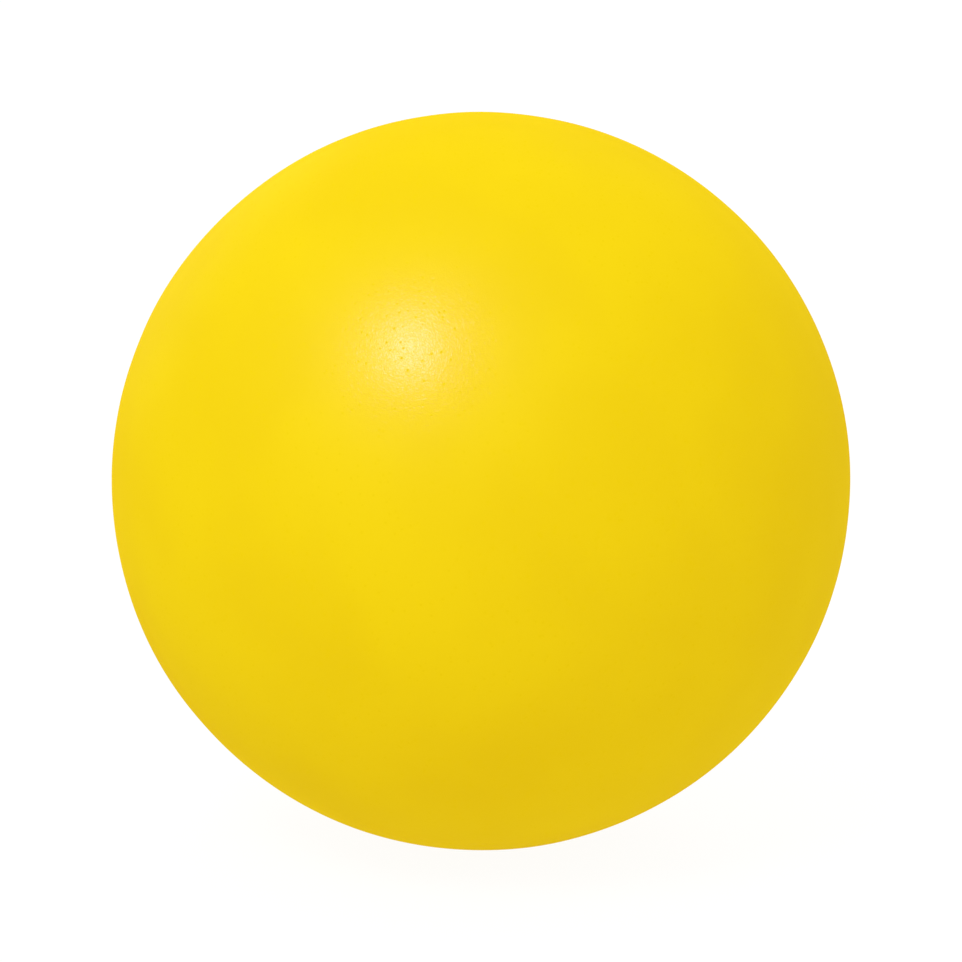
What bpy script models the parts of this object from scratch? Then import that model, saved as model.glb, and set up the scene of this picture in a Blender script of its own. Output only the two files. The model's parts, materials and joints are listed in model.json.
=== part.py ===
"""A moulded foam stress ball: a soft core inside a dense skin, with the trimmed sprue as its foot.

The ball is foamed in a mould of two halves that part at the equator. The mix is poured in through a
hole at the bottom pole. Foam that touches the mould wall sets dense, as the skin, and the rest sets
open-celled, as the core. The foam left in the pouring hole is cut off flush, and the cut is the flat
on which the ball stands. Lengths are in metres, +Z is up, and the origin is the ball's centre.
"""

import math

import bmesh
import bpy

# Driving dimensions
BALL_DIAMETER = 0.063
SKIN_THICKNESS = 0.0012
SPRUE_OPENING_DIAMETER = 0.0062
TRIM_FLAT_DIAMETER = 0.0084
FIT_GAP = 0.0003  # left between pieces that touch on the real ball

# How finely the round surfaces are divided
TURN_STEPS = 64
ARC_STEPS = 16
CORE_STEPS = 48

MERGE_DISTANCE = 1e-5
SHARP_ANGLE = math.radians(40)  # edges bent more than this are shaded as creases

# Worked out from the driving dimensions
BALL_RADIUS = BALL_DIAMETER / 2
SKIN_INNER_RADIUS = BALL_RADIUS - SKIN_THICKNESS
CORE_RADIUS = SKIN_INNER_RADIUS - FIT_GAP
OPENING_RADIUS = SPRUE_OPENING_DIAMETER / 2
TRIM_FLAT_RADIUS = TRIM_FLAT_DIAMETER / 2
TRIM_HEIGHT = -math.sqrt(BALL_RADIUS**2 - TRIM_FLAT_RADIUS**2)

# Colour, roughness and metallic value of each material
FINISHES = {
    "yellow_coat": ((0.90, 0.64, 0.004, 1.0), 0.40, 0.0),
    "core_foam": ((0.86, 0.74, 0.42, 1.0), 0.95, 0.0),
    "cut_foam": ((0.84, 0.66, 0.16, 1.0), 0.90, 0.0),
}


def clear_scene():
    """Removes every object that the file opened with."""
    for obj in list(bpy.data.objects):
        bpy.data.objects.remove(obj, do_unlink=True)


def make_collection(name):
    """A new collection in the scene."""
    collection = bpy.data.collections.new(name)
    bpy.context.scene.collection.children.link(collection)
    return collection


def make_material(name):
    """A Principled material with the colour, roughness and metallic value listed for its name."""
    colour, roughness, metallic = FINISHES[name]
    material = bpy.data.materials.new(name)
    material.use_nodes = True
    shader = material.node_tree.nodes["Principled BSDF"]
    shader.inputs["Base Color"].default_value = colour
    shader.inputs["Roughness"].default_value = roughness
    shader.inputs["Metallic"].default_value = metallic
    material.diffuse_color = colour
    return material


def add_empty(name, collection, parent=None):
    """An empty at the ball's centre, on the axis of the squeeze, that carries one half's pieces."""
    empty = bpy.data.objects.new(name, None)
    empty.empty_display_size = BALL_RADIUS / 2
    empty.parent = parent
    collection.objects.link(empty)
    return empty


def add_piece(name, mesh, parent, collection, material):
    """A piece of the ball that holds the mesh and moves with its parent."""
    piece = bpy.data.objects.new(name, mesh)
    piece.parent = parent
    collection.objects.link(piece)
    mesh.materials.append(material)
    mesh.shade_smooth()
    return piece


def arc(radius, start, end):
    """Half-section points of an arc about the ball's centre, between two angles.

    An angle is measured at the centre, down from the top pole.
    """
    sweep = [start + (end - start) * step / ARC_STEPS for step in range(ARC_STEPS + 1)]
    return [(radius * math.sin(angle), 0.0, radius * math.cos(angle)) for angle in sweep]


def angle_at_height(radius, height):
    """The angle, down from the top pole, at which a sphere reaches this height."""
    return math.acos(height / radius)


def angle_at_reach(radius, reach):
    """The angle at which the lower half of a sphere is this far from its axis."""
    return math.pi - math.asin(reach / radius)


def turn_section(name, section, closed, parent, collection, material):
    """A solid turned about Z from its half section.

    The section runs down the outer side and back up the inner side, so that the solid faces out.
    A section whose two ends lie on the axis is left open there.
    """
    edges = [(step, step + 1) for step in range(len(section) - 1)]
    if closed:
        edges.append((len(section) - 1, 0))
    mesh = bpy.data.meshes.new(name)
    mesh.from_pydata(section, edges, [])
    piece = add_piece(name, mesh, parent, collection, material)

    turn = piece.modifiers.new("turn", "SCREW")
    turn.steps = TURN_STEPS
    turn.render_steps = TURN_STEPS
    turn.use_merge_vertices = True
    turn.merge_threshold = MERGE_DISTANCE
    turn.use_smooth_shade = True
    return piece


def build_upper_skin(parent, collection, coat):
    """The skin from the upper mould half, down to half a gap above the equator."""
    rim = FIT_GAP / 2
    outer = arc(BALL_RADIUS, 0.0, angle_at_height(BALL_RADIUS, rim))
    inner = arc(SKIN_INNER_RADIUS, angle_at_height(SKIN_INNER_RADIUS, rim), 0.0)
    section = outer + inner
    return turn_section("upper_skin", section, False, parent, collection, coat)


def build_lower_skin(parent, collection, coat):
    """The skin from the lower mould half, opened for the sprue and trimmed flat around it."""
    rim = -FIT_GAP / 2
    outer = arc(
        BALL_RADIUS,
        angle_at_height(BALL_RADIUS, rim),
        angle_at_reach(BALL_RADIUS, TRIM_FLAT_RADIUS),
    )
    flat_edge = [(OPENING_RADIUS, 0.0, TRIM_HEIGHT)]
    inner = arc(
        SKIN_INNER_RADIUS,
        angle_at_reach(SKIN_INNER_RADIUS, OPENING_RADIUS),
        angle_at_height(SKIN_INNER_RADIUS, rim),
    )
    section = outer + flat_edge + inner
    return turn_section("lower_skin", section, True, parent, collection, coat)


def build_core(parent, collection):
    """The foam ball that fills the skins."""
    shape = bmesh.new()
    bmesh.ops.create_uvsphere(
        shape, u_segments=CORE_STEPS, v_segments=CORE_STEPS // 2, radius=CORE_RADIUS
    )
    mesh = bpy.data.meshes.new("foam_core")
    shape.to_mesh(mesh)
    shape.free()
    return add_piece("foam_core", mesh, parent, collection, make_material("core_foam"))


def build_sprue(parent, collection):
    """The stub of foam in the pouring hole, cut off level with the trimmed flat."""
    radius = OPENING_RADIUS - FIT_GAP
    top = -SKIN_INNER_RADIUS
    shape = bmesh.new()
    bmesh.ops.create_cone(
        shape,
        cap_ends=True,
        segments=TURN_STEPS,
        radius1=radius,
        radius2=radius,
        depth=top - TRIM_HEIGHT,
    )
    mesh = bpy.data.meshes.new("sprue_stub")
    shape.to_mesh(mesh)
    shape.free()
    stub = add_piece("sprue_stub", mesh, parent, collection, make_material("cut_foam"))
    mesh.set_sharp_from_angle(angle=SHARP_ANGLE)
    stub.location.z = (top + TRIM_HEIGHT) / 2
    return stub


def main():
    """Builds the ball, each piece on the half that it moves with.

    The upper half slides down on the lower one as the ball is squeezed between its poles.
    """
    clear_scene()
    ball = make_collection("stress_ball")
    lower_half = add_empty("lower_half", ball)
    upper_half = add_empty("upper_half", ball, parent=lower_half)
    coat = make_material("yellow_coat")
    build_upper_skin(upper_half, ball, coat)
    build_lower_skin(lower_half, ball, coat)
    build_core(lower_half, ball)
    build_sprue(lower_half, ball)


main()
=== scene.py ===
"""Looks of the stress ball: a moulded foam ball in a painted skin, lit on a white studio table.

The skin is two turned shells that meet at the mould's parting plane. Inside them is a ball of
open-celled foam, and the stub of foam in the pouring hole is cut off level with a trimmed flat.
As the ball is squeezed, every piece is shortened by the same share of its height, so the ball
Lengths are in metres, +Z is up, and the origin is the ball's centre.
"""

import itertools
import json
import logging
import math
from dataclasses import dataclass
from enum import Enum
from typing import Any

import bpy
import numpy as np
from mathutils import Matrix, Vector


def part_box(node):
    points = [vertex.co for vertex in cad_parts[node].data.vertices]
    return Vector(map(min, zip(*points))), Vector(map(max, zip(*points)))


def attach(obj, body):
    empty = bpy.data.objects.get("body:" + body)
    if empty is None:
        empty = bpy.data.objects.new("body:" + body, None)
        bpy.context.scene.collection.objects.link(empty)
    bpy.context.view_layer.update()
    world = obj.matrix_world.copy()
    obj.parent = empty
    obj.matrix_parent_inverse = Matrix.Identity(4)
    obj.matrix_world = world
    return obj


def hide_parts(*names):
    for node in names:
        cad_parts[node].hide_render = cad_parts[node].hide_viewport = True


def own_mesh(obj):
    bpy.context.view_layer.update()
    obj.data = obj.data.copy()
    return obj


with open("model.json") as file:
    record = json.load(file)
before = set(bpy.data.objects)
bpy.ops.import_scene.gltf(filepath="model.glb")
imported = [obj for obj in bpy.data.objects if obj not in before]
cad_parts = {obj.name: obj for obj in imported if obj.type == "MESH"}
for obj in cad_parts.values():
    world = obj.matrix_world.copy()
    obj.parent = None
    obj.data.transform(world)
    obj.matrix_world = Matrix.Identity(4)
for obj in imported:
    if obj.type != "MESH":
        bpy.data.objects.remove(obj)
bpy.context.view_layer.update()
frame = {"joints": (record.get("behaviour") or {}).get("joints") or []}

log = logging.getLogger("stress_ball")

SQUEEZE = "squeeze"
FULL_TURN = 2 * math.pi
QUARTER_TURN = math.pi / 2
CREASE = math.radians(40)
MM = 0.001


class Half(Enum):
    """The halves of the mould in which the skin sets: which way each one lies from the equator."""

    UPPER = 1
    LOWER = -1


@dataclass(frozen=True)
class BallSizes:
    """The sizes that every piece is built to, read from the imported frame.

    The outer radius is the height of the upper skin's top, and the trimmed flat is level with the
    stub's lower end. The stub's top is at the skin's inner sphere, and the gap under the core is
    the one that the stub keeps in its hole.
    """

    radius: float
    inner_radius: float
    core_radius: float
    opening_radius: float
    trim_height: float
    squeeze_travel: float

    @classmethod
    def from_frame(cls) -> "BallSizes":
        """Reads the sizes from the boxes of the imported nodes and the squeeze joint's range.

        Returns:
            The sizes, in metres.
        """
        stub_low, stub_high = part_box("sprue_stub")
        core_low, core_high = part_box("foam_core")
        gap = core_low.z - stub_high.z
        travel = next(joint["range_m"][1] for joint in frame["joints"] if joint["name"] == SQUEEZE)
        return cls(
            radius=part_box("upper_skin")[1].z,
            inner_radius=-stub_high.z,
            core_radius=core_high.z,
            opening_radius=stub_high.x + gap,
            trim_height=stub_low.z,
            squeeze_travel=travel,
        )

    @property
    def height(self) -> float:
        """From the trimmed flat to the top of the ball."""
        return self.radius - self.trim_height

    @property
    def squeezed_share(self) -> float:
        """The share of its height that the ball keeps at the end of the squeeze."""
        return 1 - self.squeeze_travel / self.height


# ---------------------------------------------------------------------------------------------
# Shapes worked out as whole arrays


def spread(steps: int, first: float, last: float) -> np.ndarray:
    """Places from 0 to 1 whose spacing changes smoothly, as a cubic with set slopes at both ends.

    Args:
        steps: how many intervals there are.
        first: the slope at 0, as a share of even spacing.
        last: the slope at 1, as a share of even spacing.

    Returns:
        The places, one more than the steps.
    """
    t = np.linspace(0, 1, steps + 1)
    return (t**3 - 2 * t**2 + t) * first + (3 * t**2 - 2 * t**3) + (t**3 - t**2) * last


def smooth_step(values: np.ndarray, low: float, high: float) -> np.ndarray:
    """Rises from 0 at low to 1 at high as 3t^2 - 2t^3, and is level outside.

    Args:
        values: what is compared with the two limits.
        low: where the rise starts.
        high: where the rise ends.

    Returns:
        The rise at each value, from 0 to 1.
    """
    t = np.clip((values - low) / (high - low), 0, 1)
    return t * t * (3 - 2 * t)


@dataclass(frozen=True)
class Swell:
    """Smooth random unevenness: the sum of plane waves that cross space in random directions.

    Each wave is a cosine of the distance along its direction, and a longer wave is taller in
    proportion. The sum is scaled to the root-mean-square height asked for.
    """

    shortest: float
    longest: float
    height: float
    seed: int
    waves: int = 32

    def at(self, points: np.ndarray) -> np.ndarray:
        """The height of the unevenness at each point.

        Args:
            points: an array of places whose last axis is x, y, z.

        Returns:
            A height for each place, above or below nothing, in the unit of the height asked for.
        """
        random = np.random.default_rng(self.seed)
        lengths = self.shortest * (self.longest / self.shortest) ** random.random(self.waves)
        ways = random.normal(size=(self.waves, 3))
        ways /= np.linalg.norm(ways, axis=1, keepdims=True)
        starts = random.random(self.waves) * FULL_TURN
        phases = points @ (ways * (FULL_TURN / lengths)[:, None]).T + starts
        heights = self.height * lengths / math.sqrt((lengths**2).sum() / 2)
        return np.cos(phases) @ heights


@dataclass(frozen=True)
class FoamCells:
    """Foam cells: each cube of a lattice holds one random centre, and a cell is what is nearest it."""

    width: float
    seed: int

    LATTICE = 32

    def openness(self, points: np.ndarray, wall: float) -> np.ndarray:
        """How far each point is from the cell walls.

        The nearest and the next nearest centre are equally far on a wall, so the difference of
        the two distances is zero there and grows towards the middle of the cell.

        Args:
            points: an array of places whose last axis is x, y, z.
            wall: the difference, in cell widths, at which a cell is fully open.

        Returns:
            0 on a wall, 1 in the open middle of a cell.
        """
        random = np.random.default_rng(self.seed)
        offsets = random.random((self.LATTICE, self.LATTICE, self.LATTICE, 3))
        places = points / self.width
        corner = np.floor(places).astype(int)
        nearest = np.full(points.shape[:-1], np.inf)
        second = nearest.copy()
        for step in itertools.product((-1, 0, 1), repeat=3):
            cube = corner + np.array(step)
            index = tuple(np.moveaxis(cube % self.LATTICE, -1, 0))
            away = np.linalg.norm(places - cube - offsets[index], axis=-1)
            second = np.minimum(second, np.maximum(nearest, away))
            nearest = np.minimum(nearest, away)
        return smooth_step(second - nearest, 0, wall)


@dataclass(frozen=True)
class Turned:
    """A surface turned about Z from a half section.

    The section runs down the outer side and back up the inner side, so the surface faces out.
    A looped section is a ring. Otherwise both its ends lie on the axis and close as poles.
    """

    grid: np.ndarray
    looped: bool

    @classmethod
    def from_section(cls, section: np.ndarray, looped: bool, columns: int) -> "Turned":
        """Carries a half section round the axis.

        The point at reach r and height h turns to (r cos a, r sin a, h) at the angle a.

        Args:
            section: rows of reach and height.
            looped: whether the section closes on itself.
            columns: how many steps the full turn has.

        Returns:
            The surface, with a grid of rows by columns.
        """
        turn = np.linspace(0, FULL_TURN, columns, endpoint=False)
        reach, height = section[:, :1], section[:, 1:]
        grid = np.stack([reach * np.cos(turn), reach * np.sin(turn), height + 0 * turn], axis=-1)
        return cls(grid, looped)

    def corners(self) -> np.ndarray:
        """The vertices: the grid row by row, with a pole as its first copy only."""
        if self.looped:
            return self.grid.reshape(-1, 3)
        middle = self.grid[1:-1].reshape(-1, 3)
        return np.concatenate([middle, self.grid[:1, 0], self.grid[-1:, 0]])

    def spread_over_corners(self, values: np.ndarray) -> np.ndarray:
        """Puts a grid of values in the order of the vertices.

        Args:
            values: one number for each row and column of the grid.

        Returns:
            One number for each vertex.
        """
        if self.looped:
            return values.reshape(-1)
        return np.concatenate([values[1:-1].reshape(-1), values[:1, 0], values[-1:, 0]])

    def faces(self) -> list[list[int]]:
        """Quads between the grid's rows, and a fan of triangles at each pole."""
        rows, columns, _ = self.grid.shape
        rings = rows if self.looped else rows - 2
        index = np.arange(rings * columns).reshape(rings, columns)
        below = np.roll(index, -1, axis=0) if self.looped else index[1:]
        above = index if self.looped else index[:-1]
        quads = np.stack(
            [above, below, np.roll(below, -1, axis=1), np.roll(above, -1, axis=1)], axis=-1
        )
        made = quads.reshape(-1, 4).tolist()
        if not self.looped:
            top = np.full(columns, rings * columns)
            first, last = index[0], index[-1]
            made += np.stack([top, first, np.roll(first, -1)], axis=-1).tolist()
            made += np.stack([last, top + 1, np.roll(last, -1)], axis=-1).tolist()
        return made


def make_piece(name: str, surface: Turned, material: bpy.types.Material) -> bpy.types.Object:
    """Puts a turned surface into the scene as one smooth-shaded piece at the origin.

    Args:
        name: the piece's name.
        surface: its shape.
        material: what it is finished with.

    Returns:
        The piece's object.
    """
    mesh = bpy.data.meshes.new(name)
    mesh.from_pydata(surface.corners(), [], surface.faces())
    mesh.shade_smooth()
    mesh.set_sharp_from_angle(angle=CREASE)
    mesh.materials.append(material)
    piece = bpy.data.objects.new(name, mesh)
    bpy.context.scene.collection.objects.link(piece)
    log.info("%s: %d vertices, %d faces", name, len(mesh.vertices), len(mesh.polygons))
    return piece


def paint_on(piece: bpy.types.Object, name: str, values: np.ndarray) -> None:
    """Keeps one number for each vertex, for the piece's material to read.

    Args:
        piece: the piece.
        name: the attribute's name.
        values: one number for each vertex.
    """
    attribute = piece.data.attributes.new(name, "FLOAT", "POINT")
    attribute.data.foreach_set("value", values.astype(np.float32))


# ---------------------------------------------------------------------------------------------
# Shader graphs


class Value:
    """One socket of a shader graph, on which Python's operators add Math nodes."""

    def __init__(self, graph: "Graph", socket: bpy.types.NodeSocket) -> None:
        """Wraps a socket of the graph."""
        self.graph = graph
        self.socket = socket

    def _math(self, operation: str, first: Any, second: Any) -> "Value":
        """Adds a Math node with one operation on two numbers or sockets."""
        made = self.graph.node("ShaderNodeMath", {"operation": operation}, {0: first, 1: second})
        return Value(self.graph, made.outputs["Value"])

    def __add__(self, other: Any) -> "Value":
        """The sum with another value."""
        return self._math("ADD", self, other)

    __radd__ = __add__

    def __sub__(self, other: Any) -> "Value":
        """This less another value."""
        return self._math("SUBTRACT", self, other)

    def __rsub__(self, other: Any) -> "Value":
        """Another value less this."""
        return self._math("SUBTRACT", other, self)

    def __mul__(self, other: Any) -> "Value":
        """The product with another value."""
        return self._math("MULTIPLY", self, other)

    __rmul__ = __mul__


class Graph:
    """The node graph of a new material whose body is one Principled shader."""

    NOISE_MIDDLE = 0.5  # what the values of a noise lie about
    SPECK_MIDDLE = 0.3  # the share of a speck's radius inside which it is whole

    def __init__(self, name: str) -> None:
        """Makes the material and clears what it holds."""
        self.material = bpy.data.materials.new(name)
        self.material.use_nodes = True
        self.nodes = self.material.node_tree.nodes
        self.links = self.material.node_tree.links
        self.nodes.clear()
        self.shader = self.node("ShaderNodeBsdfPrincipled")
        self.output = self.node("ShaderNodeOutputMaterial")
        self.fill(self.output, "Surface", self.shader.outputs["BSDF"])

    def node(
        self, kind: str, settings: dict[str, Any] | None = None, inputs: dict[Any, Any] | None = None
    ) -> bpy.types.Node:
        """Adds a node, sets it up and fills its sockets.

        Args:
            kind: the node's type.
            settings: its properties, which are set first.
            inputs: for a socket's name, identifier or place, a number, a colour or a link.

        Returns:
            The node.
        """
        made = self.nodes.new(kind)
        for key, setting in (settings or {}).items():
            setattr(made, key, setting)
        for key, value in (inputs or {}).items():
            self.fill(made, key, value)
        return made

    def fill(self, node: bpy.types.Node, key: str | int, value: Any) -> None:
        """Links or sets one socket of a node.

        Args:
            node: the node.
            key: the socket's name, identifier or place.
            value: a number, a colour, a socket or a wrapped socket.
        """
        by_identifier = {socket.identifier: socket for socket in node.inputs}
        socket = by_identifier.get(key) or node.inputs[key]
        source = value.socket if isinstance(value, Value) else value
        if isinstance(source, bpy.types.NodeSocket):
            self.links.new(source, socket)
        else:
            socket.default_value = source

    def place(self) -> bpy.types.NodeSocket:
        """Where a point lies in the ball, in metres."""
        return self.node("ShaderNodeTexCoord").outputs["Object"]

    def attribute(self, name: str) -> Value:
        """A number that the piece's vertices carry."""
        made = self.node("ShaderNodeAttribute", {"attribute_name": name})
        return Value(self, made.outputs["Fac"])

    def noise(self, size: float, detail: float = 2, bend: float = 0) -> Value:
        """Soft random values about 0.5, from 0 to 1.

        Args:
            size: the width of one patch, in metres.
            detail: how many finer layers are added, each half as strong as the last.
            bend: how far the patches are pulled into streaks.

        Returns:
            The noise.
        """
        inputs = {"Vector": self.place(), "Scale": 1 / size, "Detail": detail, "Distortion": bend}
        made = self.node("ShaderNodeTexNoise", {}, inputs)
        return Value(self, made.outputs[0])

    def specks(self, spacing: float, radius: float) -> Value:
        """Small round marks of random size, scattered through space.

        Args:
            spacing: the mean distance between two marks' centres.
            radius: the largest mark's radius.

        Returns:
            1 in the middle of a mark, 0 outside.
        """
        cells = self.node("ShaderNodeTexVoronoi", {}, {"Vector": self.place(), "Scale": 1 / spacing})
        middle = self.SPECK_MIDDLE * radius / spacing
        return self.rise(cells.outputs["Distance"], radius / spacing, middle)

    def rise(self, value: Any, low: float, high: float) -> Value:
        """Rises smoothly from 0 at low to 1 at high.

        Args:
            value: the socket that is compared with the limits.
            low: where the rise starts. It may be above high.
            high: where the rise ends.

        Returns:
            The rise, from 0 to 1.
        """
        limits = {"Value": value, "From Min": low, "From Max": high}
        made = self.node("ShaderNodeMapRange", {"interpolation_type": "SMOOTHSTEP"}, limits)
        return Value(self, made.outputs["Result"])

    def mix(self, share: Any, first: Any, second: Any) -> bpy.types.NodeSocket:
        """Mixes two colours.

        Args:
            share: how much of the second colour there is, from 0 to 1.
            first: a colour or a colour socket.
            second: a colour or a colour socket.

        Returns:
            The mixed colour's socket.
        """
        inputs = {"Factor_Float": share, "A_Color": first, "B_Color": second}
        made = self.node("ShaderNodeMix", {"data_type": "RGBA"}, inputs)
        return next(socket for socket in made.outputs if socket.identifier == "Result_Color")

    def relief(self, height: Value) -> bpy.types.NodeSocket:
        """The normal of a surface that is raised by a height in metres."""
        made = self.node("ShaderNodeBump", {}, {"Strength": 1.0, "Distance": 1.0, "Height": height})
        return made.outputs["Normal"]

    def gloss_over(self, share: Any, roughness: Any, normal: Any) -> None:
        """Lays a white gloss over the body, as strong at a grazing angle as head on.

        Args:
            share: how much of the light the gloss takes, from 0 to 1.
            roughness: how blurred its reflections are.
            normal: the normal that it follows.
        """
        white = (1.0, 1.0, 1.0, 1.0)
        inputs = {"Color": white, "Roughness": roughness, "Normal": normal}
        gloss = self.node("ShaderNodeBsdfGlossy", {}, inputs)
        both = {0: share, 1: self.shader.outputs["BSDF"], 2: gloss.outputs["BSDF"]}
        laid = self.node("ShaderNodeMixShader", {}, both)
        self.fill(self.output, "Surface", laid.outputs["Shader"])


Colour = tuple[float, float, float, float]


@dataclass(frozen=True)
class CoatFinish:
    """The satin yellow coat on the skin, and the bare skin foam where no paint reached.

    The coat follows the moulded skin, whose leathery mottle is 10 to 20 micrometres high, and it
    doesn't bridge the pinholes that gas has left in the skin. Inside them the colour is a little
    darker, as painted shade. It lies thinner on the cut flat.
    The gloss shows the whole relief. The body colour shows a share of it, because its light is
    scattered under the surface. The gloss is weak because the room is white all round, and a
    stronger one would bleach the rims.
    """

    colour: Colour = (0.78, 0.535, 0.001, 1.0)
    deep_colour: Colour = (0.755, 0.507, 0.001, 1.0)
    bare_colour: Colour = (0.80, 0.66, 0.28, 1.0)
    # Painted shade: the pinholes take a slightly darker colour for the shade inside them.
    pinhole_painted_shade: Colour = (0.755, 0.51, 0.001, 1.0)
    roughness: float = 0.6
    bare_roughness: float = 0.9
    coat_weight: float = 0.055
    coat_roughness: float = 0.5
    gloss_share: float = 0.002
    gloss_roughness: float = 0.25
    patch_size: float = 14 * MM
    patch_low: float = 0.3
    patch_high: float = 0.7
    peel_size: float = 1.1 * MM
    peel_height: float = 0.01 * MM
    mottle_size: float = 0.33 * MM
    mottle_height: float = 0.02 * MM
    mottle_bend: float = 2.2
    pinhole_spacing: float = 0.65 * MM
    pinhole_radius: float = 0.15 * MM
    pinhole_depth: float = 0.012 * MM
    body_relief: float = 0.25

    def material(self) -> bpy.types.Material:
        """Builds the coat's material. It reads the attribute paint, 1 where the coat is whole."""
        graph = Graph("satin_yellow_coat")
        paint = graph.attribute("paint")
        patches = graph.noise(self.patch_size)
        peel = graph.noise(self.peel_size)
        mottle = graph.noise(self.mottle_size, detail=1, bend=self.mottle_bend)
        pinholes = graph.specks(self.pinhole_spacing, self.pinhole_radius)

        tone = graph.rise(patches, self.patch_low, self.patch_high)
        coat = graph.mix(tone, self.colour, self.deep_colour)
        # Painted shade: inside a pinhole the coat's colour is darkened.
        coat_with_painted_pit_shade = graph.mix(pinholes, coat, self.pinhole_painted_shade)
        colour = graph.mix(paint, self.bare_colour, coat_with_painted_pit_shade)

        roughness = self.bare_roughness + paint * (self.roughness - self.bare_roughness)
        raised = (
            peel * self.peel_height + mottle * self.mottle_height - pinholes * self.pinhole_depth
        )
        whole = paint * (1 - pinholes)

        graph.fill(graph.shader, "Base Color", colour)
        graph.fill(graph.shader, "Roughness", roughness)
        graph.fill(graph.shader, "Coat Weight", whole * self.coat_weight)
        graph.fill(graph.shader, "Coat Roughness", self.coat_roughness)
        graph.fill(graph.shader, "Specular IOR Level", 0.0)
        graph.fill(graph.shader, "Normal", graph.relief(raised * self.body_relief))
        graph.gloss_over(whole * self.gloss_share, self.gloss_roughness, graph.relief(raised))
        return graph.material


@dataclass(frozen=True)
class FoamFinish:
    """Bare or thinly painted foam: matte, paler on the walls of its cells and darker inside them.

    The fine cells are too small for the mesh. Their radius is a share of their spacing, and a
    patch is several of them wide. The weights say how much painted shade each hollow gets and
    how much darker or paler each random patch of tone is.
    """

    name: str
    wall_colour: Colour
    # The darker colour is painted shade in the cell hollows, and also the dark end of random tone.
    hollow_shade_and_tone_colour: Colour
    roughness: float
    sheen_weight: float
    fine_cell: float
    fine_depth: float
    fine_radius: float = 0.45
    patch_cells: float = 8.0
    # Painted shade: how much the colour darkens with a cell's depth and in each fine hollow.
    depth_painted_shade: float = 0.7
    fine_painted_shade: float = 0.2
    patch_tone: float = 0.3

    def material(self) -> bpy.types.Material:
        """Builds the foam's material. It reads the attribute depth, 0 on a cell's wall."""
        graph = Graph(self.name)
        fine = graph.specks(self.fine_cell, self.fine_radius * self.fine_cell)
        patches = graph.noise(self.patch_cells * self.fine_cell)
        depth = graph.attribute("depth")

        # Painted shade darkens the colour with each cell's depth and inside the fine hollows; the
        # patches are random tone.
        cells = depth * self.depth_painted_shade + fine * self.fine_painted_shade
        painted_shade_and_tone = cells + (patches - graph.NOISE_MIDDLE) * self.patch_tone
        colour = graph.mix(graph.rise(painted_shade_and_tone, 0, 1), self.wall_colour, self.hollow_shade_and_tone_colour)

        graph.fill(graph.shader, "Base Color", colour)
        graph.fill(graph.shader, "Roughness", self.roughness)
        graph.fill(graph.shader, "Sheen Weight", self.sheen_weight)
        graph.fill(graph.shader, "Normal", graph.relief(fine * -self.fine_depth))
        return graph.material


CORE_FOAM = FoamFinish(
    name="cream_core_foam",
    wall_colour=(0.86, 0.74, 0.42, 1.0),
    # Painted shade in the cell hollows, and the dark end of random tone.
    hollow_shade_and_tone_colour=(0.60, 0.47, 0.20, 1.0),
    roughness=0.95,
    sheen_weight=0.15,
    fine_cell=0.5 * MM,
    fine_depth=0.06 * MM,
)
CUT_FOAM = FoamFinish(
    name="painted_cut_foam",
    wall_colour=(0.78, 0.56, 0.03, 1.0),
    # Painted shade in the cell hollows, and the dark end of random tone.
    hollow_shade_and_tone_colour=(0.50, 0.33, 0.02, 1.0),
    roughness=0.9,
    sheen_weight=0.05,
    fine_cell=0.15 * MM,
    fine_depth=0.015 * MM,
)


# ---------------------------------------------------------------------------------------------
# Pieces


def squeeze_down(piece: bpy.types.Object, half: Half) -> None:
    """Puts a piece on the body of the half that holds it, and gives it a mesh of its own.

    Args:
        piece: the finished piece.
        half: which half's body the piece rides on.
    """
    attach(piece, "upper_half" if half is Half.UPPER else "lower_half")
    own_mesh(piece)


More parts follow.
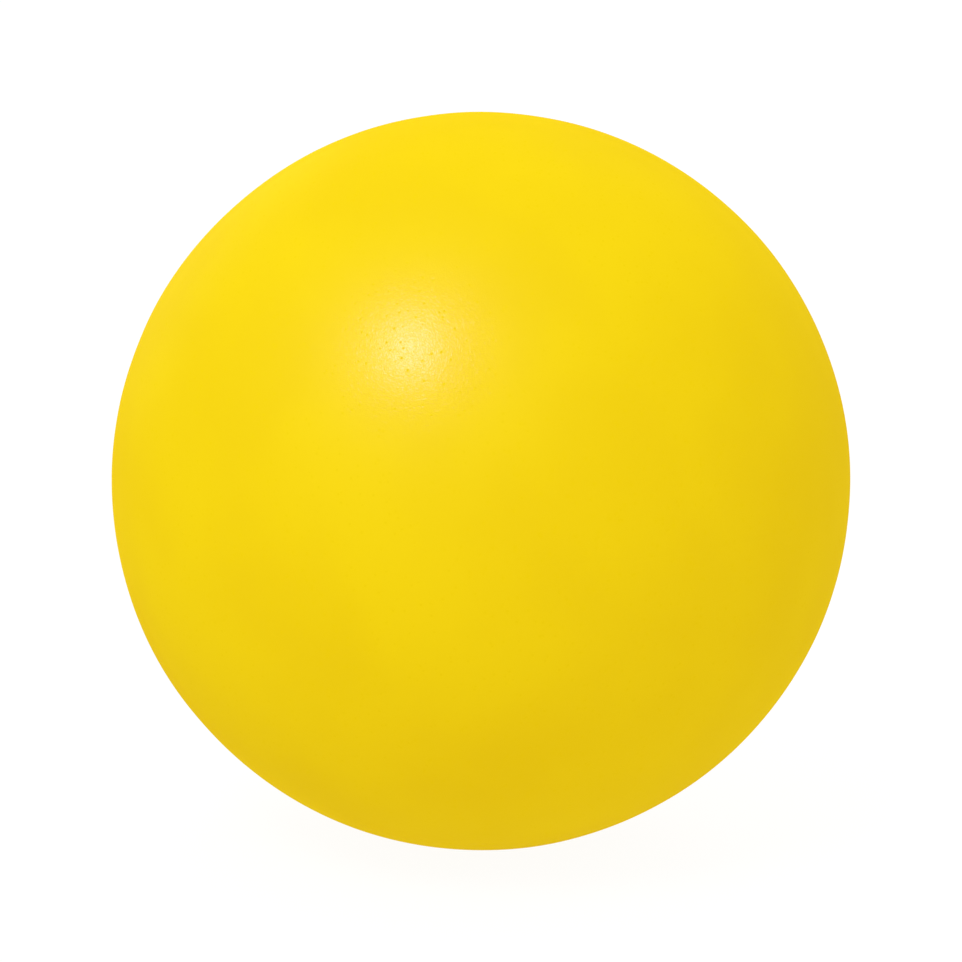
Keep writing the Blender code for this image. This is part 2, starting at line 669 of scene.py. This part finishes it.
@dataclass
class SkinHalf:
    """One half of the skin: a turned shell, uneven as a moulded foam skin is.

    The two halves meet along one edge at the equator, and their rims slope apart behind it.
    A faint raised trace of the parting line runs round the back, where it wasn't polished off.
    """

    sizes: BallSizes
    half: Half
    columns: int = 256
    outer_rows: int = 128
    inner_rows: int = 36
    meeting_gap: float = 0.001 * MM
    rim_slope: float = 0.15 * MM
    equator_spacing: float = 0.1
    edge_spacing: float = 0.35
    swell: Swell = Swell(shortest=5 * MM, longest=20 * MM, height=0.012 * MM, seed=11)
    trace_height: float = 0.035 * MM
    trace_width: float = 0.16 * MM
    trace_break: Swell = Swell(shortest=2 * MM, longest=9 * MM, height=0.3, seed=5)
    trace_usual: float = 0.8
    trace_least: float = 0.1
    trace_most: float = 1.2
    trace_from: float = math.radians(95)
    trace_whole: float = math.radians(130)
    cut_cells: FoamCells = FoamCells(width=0.4 * MM, seed=8)
    cut_wall: float = 0.4
    cut_relief: float = 0.03 * MM
    cut_slope: float = 0.5
    cut_edge: float = 0.02 * MM
    cut_paint: float = 0.7

    def build(self, coat: bpy.types.Material) -> bpy.types.Object:
        """Builds the half, on its body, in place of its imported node.

        Args:
            coat: the coat's material.

        Returns:
            The half's object.
        """
        node = "upper_skin" if self.half is Half.UPPER else "lower_skin"
        looped = self.half is Half.LOWER
        outer, inner = self.outer_section(), self.inner_section()
        shell = Turned.from_section(np.concatenate([outer, inner]), looped, self.columns)
        grid = shell.grid.copy()
        grid[: len(outer)], cut = self.weathered(grid[: len(outer)])
        paint = np.zeros(grid.shape[:2])
        paint[: len(outer)] = 1 - (1 - self.cut_paint) * cut

        shell = Turned(grid, looped)
        piece = make_piece(f"painted_{node}", shell, coat)
        paint_on(piece, "paint", shell.spread_over_corners(paint))
        squeeze_down(piece, self.half)
        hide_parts(node)
        return piece

    def outer_section(self) -> np.ndarray:
        """Reach and height down the outer sphere, from the top pole or down to the pouring hole."""
        start = math.asin(self.meeting_gap / 2 / self.sizes.radius)
        upper = self.half is Half.UPPER
        end = QUARTER_TURN if upper else math.acos(self.sizes.opening_radius / self.sizes.radius)
        last = 1.0 if upper else self.edge_spacing
        rise = start + (end - start) * spread(self.outer_rows, self.equator_spacing, last)
        section = self.sizes.radius * np.stack([np.cos(rise), self.half.value * np.sin(rise)], 1)
        return self.on_axis(section)[::-1] if upper else section

    def inner_section(self) -> np.ndarray:
        """Reach and height along the inner sphere, up to the top pole or to the equator."""
        radius = self.sizes.inner_radius
        start = math.asin(self.rim_slope / radius)
        upper = self.half is Half.UPPER
        end = QUARTER_TURN if upper else math.acos(self.sizes.opening_radius / radius)
        rise = np.linspace(start, end, self.inner_rows)
        section = radius * np.stack([np.cos(rise), self.half.value * np.sin(rise)], 1)
        return self.on_axis(section) if upper else section[::-1]

    @staticmethod
    def on_axis(section: np.ndarray) -> np.ndarray:
        """The same section, with its last point exactly on the axis."""
        section[-1, 0] = 0
        return section

    def weathered(self, grid: np.ndarray) -> tuple[np.ndarray, np.ndarray]:
        """Gives the outer surface its unevenness, its parting trace and its trimmed flat.

        Each point moves along its radius by the swell and the trace. The trace is a bell curve
        of the height above the equator. It fades in behind a set angle, measured round the axis
        from the front to either side, and its height wavers. Then nothing may lie below the trim
        plane: what would is lifted to it, and into the shallow cut cells above it.

        Args:
            grid: the points of the smooth sphere.

        Returns:
            The moved points, and how far each one is inside the cut, from 0 to 1.
        """
        around = np.arctan2(np.abs(grid[..., 0]), -grid[..., 1])
        shown = smooth_step(around, self.trace_from, self.trace_whole)
        share = self.trace_usual + self.trace_break.at(grid)
        whole = np.clip(share, self.trace_least, self.trace_most)
        trace = self.trace_height * shown * whole * np.exp(-((grid[..., 2] / self.trace_width) ** 2))
        lift = self.swell.at(grid) + trace
        moved = grid * (1 + lift / self.sizes.radius)[..., None]

        below = np.maximum(self.sizes.trim_height - moved[..., 2], 0)
        cells = self.cut_cells.openness(moved, self.cut_wall)
        relief = np.minimum(below * self.cut_slope, self.cut_relief * cells)
        moved[..., 2] = np.maximum(moved[..., 2], self.sizes.trim_height + relief)
        return moved, smooth_step(below, 0, self.cut_edge)


@dataclass
class FoamCore:
    """The ball of open-celled foam that fills the skin, with its cells as real hollows."""

    sizes: BallSizes
    columns: int = 384
    rows: int = 192
    cells: FoamCells = FoamCells(width=1.8 * MM, seed=21)
    cell_depth: float = 0.5 * MM
    wall: float = 0.35

    def build(self, foam: bpy.types.Material) -> bpy.types.Object:
        """Builds the core on the lower half's body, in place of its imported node.

        Each point of the sphere moves inwards by the depth of the cell it is in.

        Args:
            foam: the foam's material.

        Returns:
            The core's object.
        """
        fall = np.linspace(0, math.pi, self.rows + 1)
        section = self.sizes.core_radius * np.stack([np.sin(fall), np.cos(fall)], axis=1)
        section[[0, -1], 0] = 0
        ball = Turned.from_section(section, False, self.columns)
        depth = self.cells.openness(ball.grid, self.wall)
        hollowed = ball.grid * (1 - self.cell_depth / self.sizes.core_radius * depth)[..., None]
        ball = Turned(hollowed, False)

        piece = make_piece("cellular_core", ball, foam)
        paint_on(piece, "depth", ball.spread_over_corners(depth))
        squeeze_down(piece, Half.LOWER)
        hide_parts("foam_core")
        return piece


@dataclass
class SprueStub:
    """The stub of foam in the pouring hole, whose cut end shows the opened cells."""

    sizes: BallSizes
    columns: int = 192
    rings: int = 60
    clearance: float = 0.05 * MM
    cells: FoamCells = FoamCells(width=0.55 * MM, seed=34)
    cell_depth: float = 0.3 * MM
    wall: float = 0.4

    def build(self, foam: bpy.types.Material) -> bpy.types.Object:
        """Builds the stub on the lower half's body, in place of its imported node.

        The cut end is a disc in the trim plane, and each point of it moves up by the depth of
        the cell it is in.

        Args:
            foam: the foam's material.

        Returns:
            The stub's object.
        """
        radius = self.sizes.opening_radius - self.clearance
        low, high = self.sizes.trim_height, -self.sizes.inner_radius
        top = np.array([[0, high], [radius, high]])
        reach = np.linspace(radius, 0, self.rings + 1)
        cut_end = np.stack([reach, np.full_like(reach, low)], axis=1)
        stub = Turned.from_section(np.concatenate([top, cut_end]), False, self.columns)

        grid = stub.grid.copy()
        depth = np.zeros(grid.shape[:2])
        depth[len(top) + 1 :] = self.cells.openness(grid[len(top) + 1 :], self.wall)
        grid[..., 2] += self.cell_depth * depth
        stub = Turned(grid, False)

        piece = make_piece("cut_sprue", stub, foam)
        paint_on(piece, "depth", stub.spread_over_corners(depth))
        squeeze_down(piece, Half.LOWER)
        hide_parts("sprue_stub")
        return piece


# ---------------------------------------------------------------------------------------------
# Studio


@dataclass(frozen=True)
class Lamp:
    """A round studio lamp that points at the ball, and lights its matte colour, its gloss or both."""

    name: str
    azimuth: float
    elevation: float
    half_angle: float
    level: float
    colour: tuple[float, float, float] = (1.0, 1.0, 1.0)
    matte: bool = True
    gloss: bool = True
    distance: float = 1.2

    def build(self) -> bpy.types.Object:
        """Builds the lamp where its azimuth and elevation say, in degrees, seen from the ball.

        Azimuth 0 is at the camera's side and grows towards +X. The level is the brightness that
        a white matte face turned to the lamp takes from it. The disc's radiance is the level
        over the square of the sine of its half angle, and its power is four times its radiance
        times its area.

        Returns:
            The lamp's object.
        """
        around, above = math.radians(self.azimuth), math.radians(self.elevation)
        spread_angle = math.radians(self.half_angle)
        way = Vector(
            (
                math.sin(around) * math.cos(above),
                -math.cos(around) * math.cos(above),
                math.sin(above),
            )
        )
        radius = self.distance * math.tan(spread_angle)
        light = bpy.data.lights.new(self.name, "AREA")
        light.shape = "DISK"
        light.size = 2 * radius
        light.color = self.colour
        light.energy = 4 * math.pi * radius**2 * self.level / math.sin(spread_angle) ** 2
        lamp = bpy.data.objects.new(self.name, light)
        lamp.location = way * self.distance
        lamp.rotation_euler = way.to_track_quat("Z", "Y").to_euler()
        lamp.visible_diffuse = self.matte
        lamp.visible_glossy = self.gloss
        bpy.context.scene.collection.objects.link(lamp)
        return lamp


# The main light is two lamps in one place, one for the matte colour and one for the gloss, and
# each is tinted to suit what it lights.
KEY = Lamp(
    name="key",
    azimuth=-31,
    elevation=50,
    half_angle=12,
    level=0.30,
    colour=(0.72, 0.97, 0.95),
    gloss=False,
)
SHINE = Lamp(
    name="shine",
    azimuth=-31,
    elevation=50,
    half_angle=3.5,
    level=2.8,
    colour=(1.0, 0.55, 1.0),
    matte=False,
)
REAR = Lamp(name="rear", azimuth=160, elevation=38, half_angle=12, level=0.10, gloss=False)
RIM = Lamp(name="rim", azimuth=-150, elevation=10, half_angle=20, level=0.14)


@dataclass
class Studio:
    """A white table in a white room, four lamps and the camera."""

    sizes: BallSizes
    lamps: tuple[Lamp, ...] = (KEY, SHINE, REAR, RIM)
    room_level: float = 1.0
    table_glow: float = 0.93
    table_white: float = 0.08
    table_radius: float = 40.0
    table_rings: int = 24
    table_columns: int = 64
    ring_growth: int = 3
    lens: float = 150.0
    sensor: float = 36.0
    elevation: float = 12.0
    ball_share: float = 0.768
    nearest_share: float = 0.01
    farthest_share: float = 1000.0

    def build(self) -> None:
        """Builds the room, the table, the lamps and the camera."""
        scene = bpy.context.scene
        scene.view_settings.view_transform = "Standard"
        self.build_room(scene)
        self.build_table()
        self.build_camera(scene)
        for lamp in self.lamps:
            lamp.build()
        log.info("studio: %d lamps", len(self.lamps))

    def build_room(self, scene: bpy.types.Scene) -> None:
        """A room of even white light.

        Args:
            scene: the scene that the room surrounds.
        """
        scene.world = bpy.data.worlds.new("white_room")
        scene.world.use_nodes = True
        light = scene.world.node_tree.nodes["Background"]
        light.inputs["Color"].default_value = (1.0, 1.0, 1.0, 1.0)
        light.inputs["Strength"].default_value = self.room_level

    def build_table(self) -> None:
        """A translucent white table top, lit from inside, at the height of the trimmed flat.

        A ring's radius is a power of its place in the row of rings, so they lie closest under
        the ball.
        """
        reach = self.table_radius * np.linspace(0, 1, self.table_rings) ** self.ring_growth
        section = np.stack([reach, np.full_like(reach, self.sizes.trim_height)], axis=1)
        turned = Turned.from_section(section, False, self.table_columns)
        graph = Graph("lit_table")
        white = (self.table_white, self.table_white, self.table_white, 1.0)
        graph.fill(graph.shader, "Base Color", white)
        graph.fill(graph.shader, "Roughness", 1.0)
        graph.fill(graph.shader, "Specular IOR Level", 0.0)
        graph.fill(graph.shader, "Emission Color", (1.0, 1.0, 1.0, 1.0))
        graph.fill(graph.shader, "Emission Strength", self.table_glow)
        mesh = bpy.data.meshes.new("table")
        rings, columns, _ = turned.grid.shape
        mesh.from_pydata(turned.grid[1:].reshape(-1, 3), [], self.table_faces(rings - 1, columns))
        mesh.materials.append(graph.material)
        table = bpy.data.objects.new("table", mesh)
        bpy.context.scene.collection.objects.link(table)

    @staticmethod
    def table_faces(rings: int, columns: int) -> list[list[int]]:
        """Quads between the table's rings, facing up, and one face inside the smallest ring.

        Args:
            rings: how many rings of vertices there are.
            columns: how many vertices each ring has.

        Returns:
            The faces.
        """
        index = np.arange(rings * columns).reshape(rings, columns)
        inside, outside = index[:-1], index[1:]
        quads = np.stack(
            [inside, outside, np.roll(outside, -1, axis=1), np.roll(inside, -1, axis=1)], axis=-1
        )
        return quads.reshape(-1, 4).tolist() + [index[0].tolist()]

    def build_camera(self, scene: bpy.types.Scene) -> None:
        """A camera on the ball's centre, as far off as the ball's share of the frame asks.

        The rays that graze the ball leave the camera at the angle whose tangent is half the
        ball's share of the sensor over the lens, and whose sine is the radius over the distance.

        Args:
            scene: the scene that the camera shows.
        """
        camera = bpy.data.cameras.new("camera")
        camera.lens = self.lens
        camera.sensor_width = self.sensor
        graze = math.atan(self.ball_share * self.sensor / 2 / self.lens)
        distance = self.sizes.radius / math.sin(graze)
        camera.clip_start = distance * self.nearest_share
        camera.clip_end = distance * self.farthest_share
        above = math.radians(self.elevation)
        way = Vector((0, -math.cos(above), math.sin(above)))
        viewer = bpy.data.objects.new("camera", camera)
        viewer.location = way * distance
        viewer.rotation_euler = way.to_track_quat("Z", "Y").to_euler()
        scene.collection.objects.link(viewer)
        scene.camera = viewer


def main() -> None:
    """Builds the ball's pieces from the outside in, then the studio."""
    logging.basicConfig(level=logging.INFO, format="%(name)s: %(message)s")
    sizes = BallSizes.from_frame()
    coat = CoatFinish().material()
    for half in Half:
        SkinHalf(sizes, half).build(coat)
    FoamCore(sizes).build(CORE_FOAM.material())
    SprueStub(sizes).build(CUT_FOAM.material())
    Studio(sizes).build()


if __name__ == "__main__":
    main()
